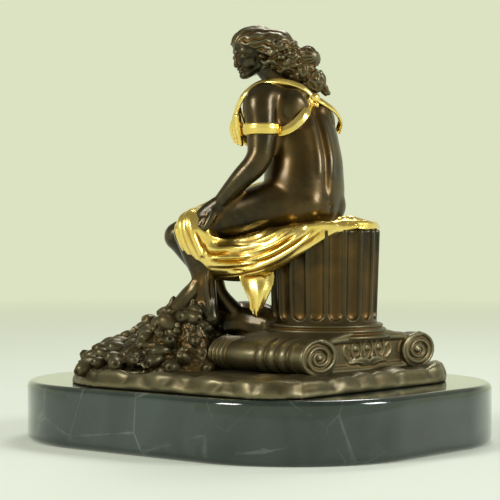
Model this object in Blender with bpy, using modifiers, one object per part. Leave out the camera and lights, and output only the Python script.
"""A small bronze of a seated woman, with gilt drapery, on a fluted column drum.

The drum stands on an upturned scroll capital, among fruit and vine leaves, on a craggy bronze ground
that is fixed to a polished marble base. She faces -Y, her left hand is towards +X, and +Z is up.
The origin is the middle of the marble's underside. Sizes are in millimetres until a mesh is made.
"""

import math

import bmesh
import bpy
from mathutils import Matrix, Vector, noise

METRE_SHARE = 0.001
TURN = 2 * math.pi

# Marble base
BASE_LENGTH = 282.0
BASE_WIDTH = 240.0
BASE_THICKNESS = 38.0
BASE_CORNER_RADIUS = 88.0
BASE_EDGE_ROUND = 4.0

# Cast ground
SEAT_GAP = 0.3
GROUND_REACH_LEFT = 114.0
GROUND_REACH_BACK = 111.0
GROUND_REACH_RIGHT = 98.0
GROUND_REACH_FRONT = 98.0
GROUND_BACK_LEFT_RADIUS = 30.0
GROUND_BACK_RIGHT_RADIUS = 58.0
GROUND_FRONT_RADIUS = 66.0
GROUND_THICKNESS = 10.5
GROUND_CRAG = 3.0
GROUND_EDGE_SLOPE = 6.0

# Upturned scroll capital
CAPITAL_CENTRE_Y = 53.0
CAPITAL_DEPTH = 75.0
CAPITAL_EYE_SPACING = 102.0
CAPITAL_HEIGHT = 22.5
SCROLL_HALF_WIDTH = 17.5
CAPITAL_SINK = 1.5
SCROLL_BAND = 2.0
SCROLL_RELIEF = 1.3
SCROLL_TURNS = 2.2
PANEL_RECESS = 3.0
HEART_COUNT = 3
HEART_HEIGHT = 10.0
SPRAY_LEAVES = 9

# Column drum
COLUMN_CENTRE_Y = 54.0
COLUMN_TOP_RADIUS = 35.0
COLUMN_FOOT_RADIUS = 33.0
COLUMN_HEIGHT = 58.0
COLUMN_TOP_ROUND = 1.6
FLUTE_COUNT = 18
FLUTE_DEPTH = 2.7
FLUTE_SHARE = 0.76
RING_RADIUS = 39.0
RING_HEIGHT = 7.0
RING_STEP = 2.2

# Figure, whose pose is drawn in parts of her sitting height
SITTING_HEIGHT = 128.0
SITTING_PARTS = 128.0
LAP_YAW = math.radians(50.0)
CLOTH_THICKNESS = 3.0
RIBBON_WIDTH = 6.5
RIBBON_THICKNESS = 2.4

# Fruit heap
FRUIT_RADIUS = 6.4
FRUIT_COUNT = 44
HEAP_CENTRE_X = 58.0
HEAP_CENTRE_Y = -36.0
HEAP_RADIUS = 50.0
HEAP_HEIGHT = 35.5
FOOT_HEAP_X = 46.0
FOOT_HEAP_Y = -12.0
FOOT_HEAP_RADIUS = 31.0
FOOT_HEAP_HEIGHT = 40.0
FOOT_HEAP_COUNT = 14
HEAP_SWELL = 1.1

# Fineness of the casting's surface
VOXEL = 1.3
SMOOTH_STEPS = 3
CASTING_FACETS = 5000

GROUND_BOTTOM = BASE_THICKNESS + SEAT_GAP
GROUND_TOP = GROUND_BOTTOM + GROUND_THICKNESS
CAPITAL_BOTTOM = GROUND_TOP - CAPITAL_SINK
CAPITAL_TOP = CAPITAL_BOTTOM + CAPITAL_HEIGHT
RING_TOP = CAPITAL_TOP + RING_HEIGHT
COLUMN_TOP = RING_TOP + COLUMN_HEIGHT
GROW = SITTING_HEIGHT / SITTING_PARTS
SEAT = Vector((0.0, COLUMN_CENTRE_Y, COLUMN_TOP))


def body(x, y, z):
    """A point on the trunk: her left, her back and up, from the middle of the column's top."""
    return SEAT + GROW * Vector((x, y, z))


def lap(p, q, z):
    """A point on the legs or cloth: along the thighs, towards her left and up, from the same middle."""
    along = Vector((math.cos(LAP_YAW), -math.sin(LAP_YAW), 0.0))
    left = Vector((math.sin(LAP_YAW), math.cos(LAP_YAW), 0.0))
    return SEAT + GROW * (p * along + q * left + Vector((0.0, 0.0, z)))


def smooth_line(points, steps):
    """Points on a smooth curve through the given vectors, with the ends kept."""
    ends = [2 * points[0] - points[1]] + list(points) + [2 * points[-1] - points[-2]]
    line = []
    for i in range(1, len(ends) - 2):
        a, b, c, d = ends[i - 1], ends[i], ends[i + 1], ends[i + 2]
        for k in range(steps):
            t = k / steps
            line.append(0.5 * (2 * b + (c - a) * t + (2 * a - 5 * b + 4 * c - d) * t * t
                               + (3 * b - a - 3 * c + d) * t ** 3))
    line.append(points[-1].copy())
    return line


def loft(bm, sections, closed_path=False):
    """A closed skin over sections that have the same number of points, capped at both ends."""
    rings = [[bm.verts.new(point * METRE_SHARE) for point in section] for section in sections]
    count = len(rings[0])
    pairs = list(zip(rings, rings[1:]))
    if closed_path:
        pairs.append((rings[-1], rings[0]))
    for low, high in pairs:
        for i in range(count):
            j = (i + 1) % count
            bm.faces.new((low[i], low[j], high[j], high[i]))
    if not closed_path:
        bm.faces.new(list(reversed(rings[0])))
        bm.faces.new(rings[-1])


def ball(bm, centre, radii, yaw=0.0, pitch=0.0, segments=16):
    """A squashed ball: half-sizes along its own X, Y and Z, turned about Z and then tipped."""
    place = (Matrix.Translation(centre * METRE_SHARE) @ Matrix.Rotation(yaw, 4, "Z")
             @ Matrix.Rotation(pitch, 4, "Y") @ Matrix.Diagonal((*[r * METRE_SHARE for r in radii], 1.0)))
    bmesh.ops.create_uvsphere(bm, u_segments=segments, v_segments=segments // 2, radius=1.0, matrix=place)


def limb(bm, stations, sides=14, steps=5):
    """A rounded limb through (point, radius) stations, with a ball at each end."""
    line = smooth_line([Vector((*point, radius)) for point, radius in stations], steps)
    sections = []
    for i, station in enumerate(line):
        before = line[max(i - 1, 0)].to_3d()
        after = line[min(i + 1, len(line) - 1)].to_3d()
        frame = (after - before).normalized().to_track_quat("Z", "Y")
        sections.append([station.to_3d() + frame @ Vector((station.w * math.cos(TURN * k / sides),
                                                          station.w * math.sin(TURN * k / sides), 0.0))
                         for k in range(sides)])
    loft(bm, sections)
    for point, radius in (stations[0], stations[-1]):
        ball(bm, point, (radius, radius, radius), segments=12)


def trunk_section(x, y, z, half_width, half_depth, yaw, sides=24):
    """A level, slightly squared oval across the trunk, facing yaw degrees to her left."""
    turned = Matrix.Rotation(math.radians(yaw), 3, "Z")
    outline = []
    for k in range(sides):
        angle = TURN * k / sides
        across = math.copysign(abs(math.cos(angle)) ** 0.85, math.cos(angle)) * half_width
        deep = math.copysign(abs(math.sin(angle)) ** 0.9, math.sin(angle)) * half_depth
        outline.append(body(x, y, z) + GROW * (turned @ Vector((across, deep, 0.0))))
    return outline


def ribbon(bm, points, width, thickness, away_from, steps=6):
    """A flat band along a path, sunk in the body, its broad face turned away from a point inside."""
    line = smooth_line(points, steps)
    sections = []
    for i, point in enumerate(line):
        along = (line[min(i + 1, len(line) - 1)] - line[max(i - 1, 0)]).normalized()
        out = point - away_from(point)
        out = (out - out.dot(along) * along).normalized()
        side = along.cross(out)
        sections.append([point + side * (a * width / 2) + out * (b * thickness / 2)
                         for a, b in ((-1, -4), (1, -4), (1, 1), (0, 1.5), (-1, 1))])
    loft(bm, sections)


def mesh_object(name, bm, collection, material=None):
    """The finished bmesh as an object with outward faces."""
    bmesh.ops.remove_doubles(bm, verts=bm.verts, dist=1e-7)
    bmesh.ops.recalc_face_normals(bm, faces=bm.faces)
    mesh = bpy.data.meshes.new(name)
    bm.to_mesh(mesh)
    bm.free()
    if material:
        mesh.materials.append(material)
    made = bpy.data.objects.new(name, mesh)
    collection.objects.link(made)
    return made


def make_material(name, colour, roughness, metallic):
    """A plain finish for one piece."""
    material = bpy.data.materials.new(name)
    material.use_nodes = True
    shader = material.node_tree.nodes["Principled BSDF"]
    shader.inputs["Base Color"].default_value = (*colour, 1.0)
    shader.inputs["Roughness"].default_value = roughness
    shader.inputs["Metallic"].default_value = metallic
    return material


def rounded_outline(sides, radii, arc_steps=12):
    """A rectangle reaching sides (+X, +Y, -X, -Y), with a round corner after each, anticlockwise."""
    right, back, left, front = sides
    outline = []
    for corner, (x, y) in enumerate(((right, back), (-left, back), (-left, -front), (right, -front))):
        radius = radii[corner]
        centre = Vector((x - math.copysign(radius, x), y - math.copysign(radius, y), 0.0))
        for k in range(arc_steps + 1):
            angle = TURN / 4 * (corner + k / arc_steps)
            outline.append(centre + radius * Vector((math.cos(angle), math.sin(angle), 0.0)))
    return outline


def make_marble_base(collection):
    """The polished slab, with its top and bottom edges rounded by a bevel."""
    bm = bmesh.new()
    sides = (BASE_WIDTH / 2, BASE_LENGTH / 2) * 2
    outline = rounded_outline(sides, [BASE_CORNER_RADIUS] * 4)
    loft(bm, [[p + Vector((0.0, 0.0, z)) for p in outline] for z in (0.0, BASE_THICKNESS)])
    marble = make_material("marble_dark_green", (0.018, 0.024, 0.021), 0.18, 0.0)
    base = mesh_object("marble_base", bm, collection, marble)
    bevel = base.modifiers.new("edge", "BEVEL")
    bevel.width = BASE_EDGE_ROUND * METRE_SHARE
    bevel.segments = 2
    bevel.limit_method = "ANGLE"


def ground_outline(inset, lift):
    """The craggy edge of the cast ground, drawn in by an inset, at one height."""
    sides = (GROUND_REACH_LEFT, GROUND_REACH_BACK, GROUND_REACH_RIGHT, GROUND_REACH_FRONT)
    radii = (GROUND_BACK_LEFT_RADIUS, GROUND_BACK_RIGHT_RADIUS, GROUND_FRONT_RADIUS, GROUND_FRONT_RADIUS)
    outline = rounded_outline([side - inset for side in sides], [radius - inset for radius in radii], 16)
    crag = []
    for p in outline:
        spot = p / GROUND_CRAG
        swing = noise.noise(spot * 0.09 + Vector((0.0, 0.0, lift * 0.12))) + 0.5 * noise.noise(spot * 0.24)
        crag.append(p + p.normalized() * (GROUND_CRAG * swing) + Vector((0.0, 0.0, lift)))
    return crag


def add_ground(bm):
    """The low bronze ground: steep broken edge, gently uneven top."""
    steps = ((0.33, -0.3), (0.0, 0.35), (0.2, 0.62), (1.0, 0.9), (2.6, 1.0))
    loft(bm, [ground_outline(inset * GROUND_EDGE_SLOPE, GROUND_BOTTOM + share * GROUND_THICKNESS)
              for inset, share in steps])


def heap_point(heap, share, angle, lift=0.0):
    """A place on one mound of fruit, from its peak (share 0) to its foot (share 1)."""
    x, y, radius, full_height = heap
    height = (full_height - FRUIT_RADIUS) * (1.0 - share ** HEAP_SWELL)
    return Vector((x + radius * share * math.cos(angle), y + radius * share * math.sin(angle),
                   GROUND_TOP + height + lift))


def add_heap(bm, heap, count):
    """A mound of leaves with round fruit packed on its slopes."""
    rows = ((1.0, -0.6), (1.0, 0.2), (0.8, 0.3), (0.6, 0.3), (0.4, 0.3), (0.2, 0.3), (0.05, 0.3))
    loft(bm, [[heap_point(heap, share, TURN * k / 24, lift * FRUIT_RADIUS) for k in range(24)]
              for share, lift in rows])
    golden = math.pi * (3 - math.sqrt(5))
    for k in range(count):
        angle = k * golden
        centre = heap_point(heap, math.sqrt((k + 0.5) / count), angle)
        size = FRUIT_RADIUS * (0.95 + 0.4 * noise.noise(centre / FRUIT_RADIUS * 0.7))
        centre.z += size * 0.3
        ball(bm, centre, (size * 1.15, size, size), yaw=angle * 1.7, pitch=0.3, segments=12)


def grown_ball(bm, centre, radii, **turns):
    """A ball of the figure, its half-sizes in parts of the pose."""
    ball(bm, centre, [GROW * radius for radius in radii], **turns)


def grown_limb(bm, stations, **fineness):
    """A limb of the figure, its radii in parts of the pose."""
    limb(bm, [(point, GROW * radius) for point, radius in stations], **fineness)


def add_trunk(bm):
    """Pelvis, waist, back and shoulders as one lofted form, with blades, buttocks and bust."""
    stations = ((4, -12, 3, 25, 18, 18), (4, -12, 13, 30, 22, 18), (4, -12.5, 24, 30, 23, 12),
                (4.5, -12.5, 34, 28, 22.5, 6), (4, -12.5, 44, 25.5, 21.5, 0), (4, -14, 54, 25.5, 19.5, -4),
                (3, -18, 64, 26, 19, -7), (3, -21, 73, 26, 16, -7), (4, -23, 81, 20, 12, -7),
                (6, -26, 88, 12, 9, 0))
    loft(bm, [trunk_section(*station) for station in stations])
    grown_ball(bm, body(18, -5, 15), (15, 17, 15), yaw=0.4)
    grown_ball(bm, body(-6, -7, 15), (15, 16, 15), yaw=0.3)
    grown_ball(bm, body(17, -10, 73), (10, 7, 13), yaw=-0.3)
    grown_ball(bm, body(-9, -9, 68), (9, 7, 12), yaw=0.2)
    grown_ball(bm, body(4, -17, 83.5), (11, 9, 9))
    for side in (-1, 1):
        grown_ball(bm, body(3 + 10 * side, -33, 61), (8.5, 8.5, 8))


def add_arms(bm):
    """Her left arm braced on the thigh, and her right arm bent to rest in the lap."""
    grown_limb(bm, [(body(20, -24, 80), 10), (lap(40, 7.5, 79.5), 11), (lap(40.5, 13, 62), 9.6),
                    (lap(40.5, 18, 44), 8)])
    grown_limb(bm, [(lap(40.5, 18, 45), 8), (lap(50, 19, 33), 7.2), (lap(66, 15, 15), 4.9)])
    grown_ball(bm, lap(71, 13, 8.5), (9, 6.5, 5), yaw=-LAP_YAW, pitch=0.7)
    grown_ball(bm, lap(79, 13, 1), (5, 6, 5), yaw=-LAP_YAW, pitch=0.9)
    for finger in range(4):
        grown_limb(bm, [(lap(72, 9 + 3 * finger, 8), 2.0), (lap(79, 8 + 3 * finger, 4), 1.9),
                        (lap(82 - finger, 9 + 3 * finger, 0), 1.7)], sides=8, steps=2)
    grown_limb(bm, [(body(-12, -21, 73), 9), (body(-24, -21.5, 70), 9.6), (body(-28, -26, 56), 8.4),
                    (body(-32, -33, 39), 7.4)])
    grown_limb(bm, [(body(-32, -33, 40), 7.4), (body(-21, -39, 31), 6.6), (body(-7, -44, 24), 4.8)])
    grown_ball(bm, body(-1, -46, 22), (8, 5.5, 4.5), yaw=-0.3)


def add_legs(bm):
    """Both thighs turned to her left, the shins drawn back and the feet sunk in the heap, by a low rock."""
    grown_limb(bm, [(lap(60, -12, -57), 11), (lap(46, -10, -57), 11.5), (lap(32, -3, -57), 11)])
    grown_ball(bm, lap(47, -12, -69), (16, 15, 24), yaw=-LAP_YAW, segments=14)
    grown_ball(bm, lap(33, -3, -76), (15, 13, 19), yaw=-LAP_YAW, segments=10)
    grown_limb(bm, [(lap(18, 8, 17), 16.5), (lap(38, 8, 13), 15.5), (lap(60, 6.5, 7), 12.5),
                    (lap(82, 5, 0), 9.6), (lap(85, 5, -2), 9.4)])
    grown_limb(bm, [(lap(16, -14, 17), 16), (lap(38, -17, 13), 14.5), (lap(62, -20, 6), 12),
                    (lap(86, -22, -2), 9.6), (lap(92, -22.5, -4.5), 9.4)])
    grown_limb(bm, [(lap(85, 5, -2), 9), (lap(79, 9, -16), 9), (lap(74.5, 12, -30), 6.6),
                    (lap(72, 13.5, -42), 5.4), (lap(70.5, 15, -55), 5.6)])
    grown_limb(bm, [(lap(73.5, 13, -32), 6.2), (lap(81, 11, -40), 7.6), (lap(89, 8, -48), 7),
                    (lap(99, 6, -56), 5)])
    grown_limb(bm, [(lap(70.5, 15, -55), 5.4), (lap(82, 10, -56), 6), (lap(94, 6, -58), 5)])
    grown_limb(bm, [(lap(92, -22.5, -4), 9), (lap(81, -15, -18), 7.6), (lap(70, -8, -31), 6.2),
                    (lap(65.5, -5, -41), 5.6), (lap(56, -4, -52), 6.4)])
    grown_limb(bm, [(lap(66, -6, -44), 6), (lap(72, -16, -54), 6), (lap(78, -28, -61), 4.6)])


def add_head(bm):
    """Neck, head turned well to her left, waved hair, knot of hair and one falling lock."""
    grown_limb(bm, [(body(6, -26, 85), 9), (body(9, -30, 93), 7.4), (body(14, -36, 103), 7)])
    face_yaw = math.radians(-19.5)
    grown_ball(bm, body(19, -43, 112.5), (14.2, 12, 14.6), yaw=face_yaw, pitch=0.12, segments=24)
    grown_ball(bm, body(23, -44.5, 106), (9.6, 8.4, 9.2), yaw=face_yaw, pitch=0.45, segments=20)
    grown_ball(bm, body(33.5, -48, 108), (2.8, 1.9, 3.4), yaw=face_yaw, pitch=-0.35, segments=12)
    hair = ((16, -40, 115.5, 15.4, 14, 14.2), (11, -32, 113, 14.6, 14, 14), (5, -25, 107, 11, 11, 11),
            (-2, -14.5, 108.5, 8.8, 7.8, 6.8), (3, -20, 100, 7.4, 7.4, 6.4))
    for x, y, z, *radii in hair:
        grown_ball(bm, body(x, y, z), radii, yaw=face_yaw, segments=20)
    grown_limb(bm, [(body(-1, -18, 98), 4.6), (body(-4, -13, 94), 4.2), (body(-7.5, -9.5, 87), 3.6)],
               sides=10, steps=3)


def cloth_section(p, top, bottom, near, far, phase, sides=26):
    """A closed loop round the hanging cloth, across the thighs, with ridges round its face."""
    loop = []
    for k in range(sides):
        angle = TURN * k / sides
        fold = 1.0 + 0.1 * math.cos(6 * angle + phase)
        q = (near + far) / 2 + (near - far) / 2 * fold * math.cos(angle)
        z = (top + bottom) / 2 + (top - bottom) / 2 * math.sin(angle)
        loop.append(lap(p, q, z))
    return loop


def add_drapery(bm):
    """Cloth on the seat, the swag under and round the thighs, its cover on the knees and its tail."""
    stations = ((-8, 4.5, -4, 33, 20, 0.0), (6, 5, -10, 34.5, 18, 0.4), (22, 3, -19, 34, 14, 0.8),
                (38, 0, -27.5, 30, 8, 1.2), (52, -3, -31.5, 23, -12, 1.6), (66, -3.5, -31.5, 21, -24, 2.0),
                (74, 12.5, -30.5, 20.5, -28, 2.4), (81, 14, -24, 19.5, -26, 2.8),
                (87, 11, -15, 16.5, -14, 3.2), (91.5, 6, -8, 12, 0, 3.6))
    loft(bm, [cloth_section(*station) for station in stations])
    grown_limb(bm, [(lap(28, -16, 17), 16), (lap(46, -18, 12), 15.5), (lap(66, -20, 6), 14),
                    (lap(82, -22, 0), 12.6)], sides=18)
    cover = COLUMN_TOP_RADIUS + CLOTH_THICKNESS / 3
    middle = SEAT + Vector((0.0, 0.0, CLOTH_THICKNESS / 3))
    ball(bm, middle, (cover, cover, CLOTH_THICKNESS * 1.2), segments=24)
    grown_limb(bm, [(lap(2, 30, 2), 3.2), (lap(-14, 27, 3), 3.4), (lap(-28, 14, 2.5), 3.0),
                    (lap(-34, -4, 1.5), 2.6)])
    grown_limb(bm, [(lap(-12, 12, 6), 5), (lap(-20, 2, 5), 4.6), (lap(-24, -14, 4), 4)])
    tail = ((-20.0, 18.0, 10.0), (-30.0, 20.0, 10.5), (-38.0, 22.0, 10.0), (-45.0, 23.0, 8.0),
            (-50.0, 23.0, 4.5), (-54.0, 22.5, 1.2))
    sections = []
    for z, q, half in tail:
        middle = 42.0 - (z + 31.0) * 0.06
        sections.append([lap(middle + a * half, q + b * CLOTH_THICKNESS / 2 / GROW, z)
                         for a, b in ((-1, -1), (1, -1), (1, 1), (0, 1.6), (-1, 1))])
    loft(bm, sections)


def add_ribbon(bm):
    """The flat band round each arm and over the shoulders, knotted between the shoulder blades."""
    spine = body(5, -22, 70)

    def inside(point):
        return Vector((spine.x, spine.y, point.z - 6.0))

    knot = body(0.5, -7, 82.5)
    width = RIBBON_WIDTH * GROW
    thick = RIBBON_THICKNESS * GROW
    ribbon(bm, [knot, body(7, -10, 88), body(14, -16, 91.5), body(24, -22, 92.5), body(34, -26, 90),
                body(41, -32, 82), body(39, -41, 69)], width * 0.7, thick, inside)
    ribbon(bm, [knot, body(6.5, -7, 78), body(16.5, -2.5, 71.5), body(24, -5.5, 64), body(29, -11, 60)],
           width, thick, inside)
    ribbon(bm, [knot, body(-9, -5, 78.5), body(-18, -5, 74.5), body(-27, -8, 69), body(-34, -15, 63)],
           width * 0.8, thick, inside)
    for arm, radius in ((lap(40.5, 13.2, 62), 11.0), (body(-28, -25, 58), 9.8)):
        turns = [Matrix.Rotation(TURN * k / 16, 3, "Z") for k in range(16)]
        loop = [arm + turn @ Vector((radius * GROW, 0.0, 0.0)) for turn in turns]
        sections = [[p + (p - arm).normalized() * (a * thick / 2) + Vector((0.0, 0.0, b * width / 2))
                     for a, b in ((-1, -1), (1, -1), (1, 1), (-1, 1))] for p in loop]
        loft(bm, sections, closed_path=True)
    grown_ball(bm, knot, (4.4, 3.6, 3.6), segments=12)
    front = [body(38, -42, 66), body(24, -45, 60), body(4, -46, 57), body(-16, -42, 58), body(-32, -31, 60)]
    ribbon(bm, front, width * 2.6, thick * 2.4, inside)


def largest_island(mesh):
    """Drops every loose scrap but the largest joined surface, such as a bubble under a ribbon."""
    bm = bmesh.new()
    bm.from_mesh(mesh)
    left = set(bm.verts)
    islands = []
    while left:
        island = set()
        front = [left.pop()]
        while front:
            vert = front.pop()
            island.add(vert)
            near = [edge.other_vert(vert) for edge in vert.link_edges]
            front.extend(other for other in near if other in left)
            left.difference_update(near)
        islands.append(island)
    largest = max(islands, key=len)
    bmesh.ops.delete(bm, geom=[vert for vert in bm.verts if vert not in largest], context="VERTS")
    bm.to_mesh(mesh)
    bm.free()


def make_casting(collection, material):
    """Ground, heap and figure melted into one skin, then thinned to flat facets."""
    bm = bmesh.new()
    add_ground(bm)
    add_heap(bm, (HEAP_CENTRE_X, HEAP_CENTRE_Y, HEAP_RADIUS, HEAP_HEIGHT), FRUIT_COUNT)
    add_heap(bm, (FOOT_HEAP_X, FOOT_HEAP_Y, FOOT_HEAP_RADIUS, FOOT_HEAP_HEIGHT), FOOT_HEAP_COUNT)
    add_trunk(bm)
    add_arms(bm)
    add_legs(bm)
    add_head(bm)
    add_drapery(bm)
    add_ribbon(bm)
    model = mesh_object("wax_model", bm, collection, material)
    melt = model.modifiers.new("melt", "REMESH")
    melt.mode = "VOXEL"
    melt.voxel_size = VOXEL * METRE_SHARE
    ease = model.modifiers.new("ease", "SMOOTH")
    ease.factor = 0.5
    ease.iterations = SMOOTH_STEPS
    depsgraph = bpy.context.evaluated_depsgraph_get()
    skin = bpy.data.meshes.new_from_object(model.evaluated_get(depsgraph))
    bpy.data.objects.remove(model, do_unlink=True)
    largest_island(skin)
    skin.name = "bronze_group"
    casting = bpy.data.objects.new("bronze_group", skin)
    collection.objects.link(casting)
    thin = casting.modifiers.new("thin", "DECIMATE")
    thin.ratio = CASTING_FACETS / (2 * len(skin.polygons))
    return casting


def make_trim(collection):
    """The block that cuts the casting flat where it meets the marble."""
    bm = bmesh.new()
    bmesh.ops.create_cube(bm, size=1.0)
    bmesh.ops.scale(bm, verts=bm.verts, vec=Vector((BASE_WIDTH, BASE_LENGTH, BASE_THICKNESS)) * METRE_SHARE)
    middle = Vector((0.0, 0.0, GROUND_BOTTOM - BASE_THICKNESS / 2))
    bmesh.ops.translate(bm, verts=bm.verts, vec=middle * METRE_SHARE)
    return mesh_object("flat_foot", bm, collection)


def flute_section(radius, depth, z):
    """One level outline of the drum: hollow flutes parted by narrow fillets."""
    outline = []
    for flute in range(FLUTE_COUNT):
        for k in range(6):
            share = k / 5
            across = max(0.0, 1.0 - (2 * share - 1) ** 2) ** 0.5
            angle = TURN / FLUTE_COUNT * (flute + FLUTE_SHARE * share)
            reach = radius - depth * across
            outline.append(Vector((reach * math.cos(angle), COLUMN_CENTRE_Y + reach * math.sin(angle), z)))
    return outline


def make_column(collection):
    """The fluted drum, a little wider at its top, with round-ended flutes."""
    bm = bmesh.new()
    foot = RING_TOP - RING_HEIGHT / 3
    span = COLUMN_TOP - RING_TOP
    levels = ((foot, 0.0, 0.0), (RING_TOP, 0.0, 0.0), (RING_TOP + RING_HEIGHT / 2, 1.0, 0.0),
              (COLUMN_TOP - COLUMN_TOP_ROUND, 1.0, 0.0), (COLUMN_TOP, 0.9, COLUMN_TOP_ROUND))
    sections = []
    for z, depth, shrink in levels:
        share = min(max((z - RING_TOP) / span, 0.0), 1.0)
        radius = COLUMN_FOOT_RADIUS + share * (COLUMN_TOP_RADIUS - COLUMN_FOOT_RADIUS) - shrink
        sections.append(flute_section(radius, depth * FLUTE_DEPTH, z))
    loft(bm, sections)
    return mesh_object("column_drum", bm, collection)


def make_ring(collection):
    """The stepped round moulding under the drum, turned from its profile."""
    shares = ((-1.45, 0.0), (-1.0, 0.17), (-1.0, 0.37), (-0.36, 0.46), (0.0, 0.63), (-0.27, 1.0), (1.36, 1.2),
              (1.36, 1.6))
    profile = [(0.0, RING_TOP)] + [(RING_RADIUS + out * RING_STEP, RING_TOP - down * RING_HEIGHT)
                                   for out, down in shares]
    profile.append((0.0, profile[-1][1]))
    mesh = bpy.data.meshes.new("ring_profile")
    mesh.from_pydata([(x * METRE_SHARE, 0.0, z * METRE_SHARE) for x, z in profile],
                     [(i, i + 1) for i in range(len(profile) - 1)], [])
    ring = bpy.data.objects.new("ring", mesh)
    ring.location.y = COLUMN_CENTRE_Y * METRE_SHARE
    collection.objects.link(ring)
    screw = ring.modifiers.new("turn", "SCREW")
    screw.steps = screw.render_steps = 36
    screw.use_merge_vertices = True
    screw.merge_threshold = 0.00001
    return ring


def scroll_point(side, y, angle, reach):
    """A place on a scroll's oval, reach 1 being its rim."""
    return Vector((side * (CAPITAL_EYE_SPACING / 2 + reach * SCROLL_HALF_WIDTH * math.cos(angle)), y,
                   CAPITAL_BOTTOM + CAPITAL_HEIGHT / 2 + reach * CAPITAL_HEIGHT / 2 * math.sin(angle)))


def make_bolster(collection, side):
    """The rolled side of the capital: bound by reeds at both ends, swelling plainly between."""
    back = CAPITAL_CENTRE_Y - CAPITAL_DEPTH / 2
    stations = ((0.0, 0.95), (0.04, 0.86), (0.07, 0.98), (0.1, 0.86), (0.14, 0.98), (0.18, 0.84),
                (0.44, 0.88), (0.49, 0.78), (0.56, 0.96), (0.63, 0.8), (0.7, 0.98), (0.78, 0.82),
                (0.88, 1.0), (1.0, 1.0))
    bm = bmesh.new()
    loft(bm, [[scroll_point(side, back + share * CAPITAL_DEPTH, TURN * k / 18, reach) for k in range(18)]
              for share, reach in stations])
    return mesh_object("bolster", bm, collection)


def make_scroll(collection, side):
    """The raised spiral band on the show end of a bolster, winding in to its eye."""
    face = CAPITAL_CENTRE_Y + CAPITAL_DEPTH / 2
    out = SCROLL_RELIEF
    band = SCROLL_BAND / CAPITAL_HEIGHT
    sections = []
    steps = int(SCROLL_TURNS * 11)
    for k in range(steps + 1):
        turned = k / steps
        reach = 1.0 - band - 0.72 * turned
        angle = math.radians(100) + TURN * SCROLL_TURNS * turned
        sections.append([scroll_point(side, face + y, angle, reach + r)
                         for y, r in ((-out, -band), (out, -band * 0.7), (out, band * 0.7), (-out, band))])
    bm = bmesh.new()
    loft(bm, sections)
    return mesh_object("scroll_band", bm, collection)


def make_capital_bed(collection):
    """The low block that beds the bolsters on the ground."""
    bm = bmesh.new()
    bmesh.ops.create_cube(bm, size=1.0)
    size = Vector((CAPITAL_EYE_SPACING + SCROLL_HALF_WIDTH, 0.97 * CAPITAL_DEPTH, 0.18 * CAPITAL_HEIGHT))
    bmesh.ops.scale(bm, verts=bm.verts, vec=size * METRE_SHARE)
    middle = Vector((0.0, CAPITAL_CENTRE_Y, CAPITAL_BOTTOM + size.z / 2))
    bmesh.ops.translate(bm, verts=bm.verts, vec=middle * METRE_SHARE)
    return mesh_object("capital_bed", bm, collection)


def make_capital_core(collection):
    """The block between the bolsters, with a sunk panel on each face."""
    half = CAPITAL_EYE_SPACING / 2
    bm = bmesh.new()
    bmesh.ops.create_cube(bm, size=1.0)
    depth = CAPITAL_DEPTH - 2 * PANEL_RECESS
    bmesh.ops.scale(bm, verts=bm.verts, vec=Vector((2 * half, depth, 0.9 * CAPITAL_HEIGHT)) * METRE_SHARE)
    middle = Vector((0.0, CAPITAL_CENTRE_Y, CAPITAL_BOTTOM + 0.53 * CAPITAL_HEIGHT))
    bmesh.ops.translate(bm, verts=bm.verts, vec=middle * METRE_SHARE)
    return mesh_object("capital_core", bm, collection)


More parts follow.
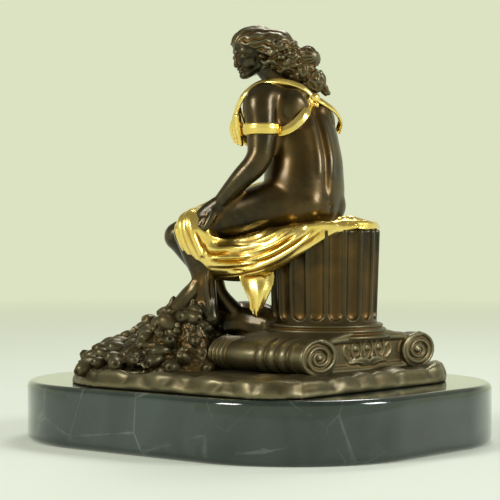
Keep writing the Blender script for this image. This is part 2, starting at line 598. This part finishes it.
def make_capital_details(collection, front):
    """Rails on one face of the capital, and on the show face its hearts and spray of leaves."""
    sign = 1.0 if front else -1.0
    face = CAPITAL_CENTRE_Y + sign * (CAPITAL_DEPTH / 2 - PANEL_RECESS)
    half = CAPITAL_EYE_SPACING / 2
    made = []
    rails = ((CAPITAL_BOTTOM + 0.08 * CAPITAL_HEIGHT, 1.5), (CAPITAL_TOP - 0.06 * CAPITAL_HEIGHT, 1.35))
    for level, deep in rails:
        bm = bmesh.new()
        bmesh.ops.create_cube(bm, size=1.0)
        rail = Vector((2 * half, deep * PANEL_RECESS, 0.8 * PANEL_RECESS))
        bmesh.ops.scale(bm, verts=bm.verts, vec=rail * METRE_SHARE)
        middle = Vector((0.0, face + sign * PANEL_RECESS / 8, level))
        bmesh.ops.translate(bm, verts=bm.verts, vec=middle * METRE_SHARE)
        made.append(mesh_object("rail", bm, collection))
    if not front:
        return made
    spacing = 2 * (half - SCROLL_HALF_WIDTH) / HEART_COUNT
    for k in range(HEART_COUNT):
        middle = Vector(((k - (HEART_COUNT - 1) / 2) * spacing, face, CAPITAL_TOP - 0.86 * HEART_HEIGHT))
        loop = []
        for i in range(12):
            angle = TURN * i / 12
            rise = HEART_HEIGHT * 0.5 * (math.cos(angle) - 0.25 * math.cos(2 * angle))
            loop.append(middle + Vector((spacing * 0.4 * math.sin(angle), 0.0, rise)))
        rim = [((p - middle).normalized() * HEART_HEIGHT, p) for p in loop]
        out = Vector((0.0, sign * HEART_HEIGHT, 0.0))
        bm = bmesh.new()
        loft(bm, [[p + a * away + b * out
                   for a, b in ((-0.08, -0.1), (0.08, -0.1), (0.05, 0.12), (-0.05, 0.12))]
                  for away, p in rim], closed_path=True)
        made.append(mesh_object("heart", bm, collection))
    for k in range(SPRAY_LEAVES):
        lean = math.radians(80) * (2 * k / (SPRAY_LEAVES - 1) - 1)
        reach = HEART_HEIGHT * (0.65 + 0.9 * abs(math.sin(lean)))
        foot = CAPITAL_BOTTOM + 0.14 * CAPITAL_HEIGHT
        middle = Vector((reach * 0.6 * math.sin(lean), face, foot + reach * 0.42 * math.cos(lean)))
        bm = bmesh.new()
        ball(bm, middle, (0.11 * HEART_HEIGHT, 0.1 * HEART_HEIGHT, reach * 0.45), pitch=lean, segments=8)
        made.append(mesh_object("spray_leaf", bm, collection))
    return made


def main():
    for old in list(bpy.data.objects):
        bpy.data.objects.remove(old, do_unlink=True)
    statue = bpy.data.collections.new("seated_woman_statue")
    joined_forms = bpy.data.collections.new("joined_forms")
    trimmers = bpy.data.collections.new("cutters")
    for collection in (statue, joined_forms, trimmers):
        bpy.context.scene.collection.children.link(collection)
    make_marble_base(statue)
    bronze = make_material("bronze_dark_patina", (0.075, 0.05, 0.032), 0.34, 1.0)
    casting = make_casting(statue, bronze)
    joined = [make_column(joined_forms), make_ring(joined_forms), make_capital_core(joined_forms),
              make_capital_bed(joined_forms)]
    for side in (-1, 1):
        joined.append(make_bolster(joined_forms, side))
        joined.append(make_scroll(joined_forms, side))
    for front in (True, False):
        joined.extend(make_capital_details(joined_forms, front))
    trim = make_trim(trimmers)
    for form in (*joined, trim):
        form.display_type = "WIRE"
        form.hide_render = True
    weld = casting.modifiers.new("weld_castings", "BOOLEAN")
    weld.operation = "UNION"
    weld.operand_type = "COLLECTION"
    weld.collection = joined_forms
    cut = casting.modifiers.new("cut_flat", "BOOLEAN")
    cut.operation = "DIFFERENCE"
    cut.object = trim
    finished = bpy.data.meshes.new_from_object(casting.evaluated_get(bpy.context.evaluated_depsgraph_get()))
    largest_island(finished)
    casting.modifiers.clear()
    casting.data = finished


main()
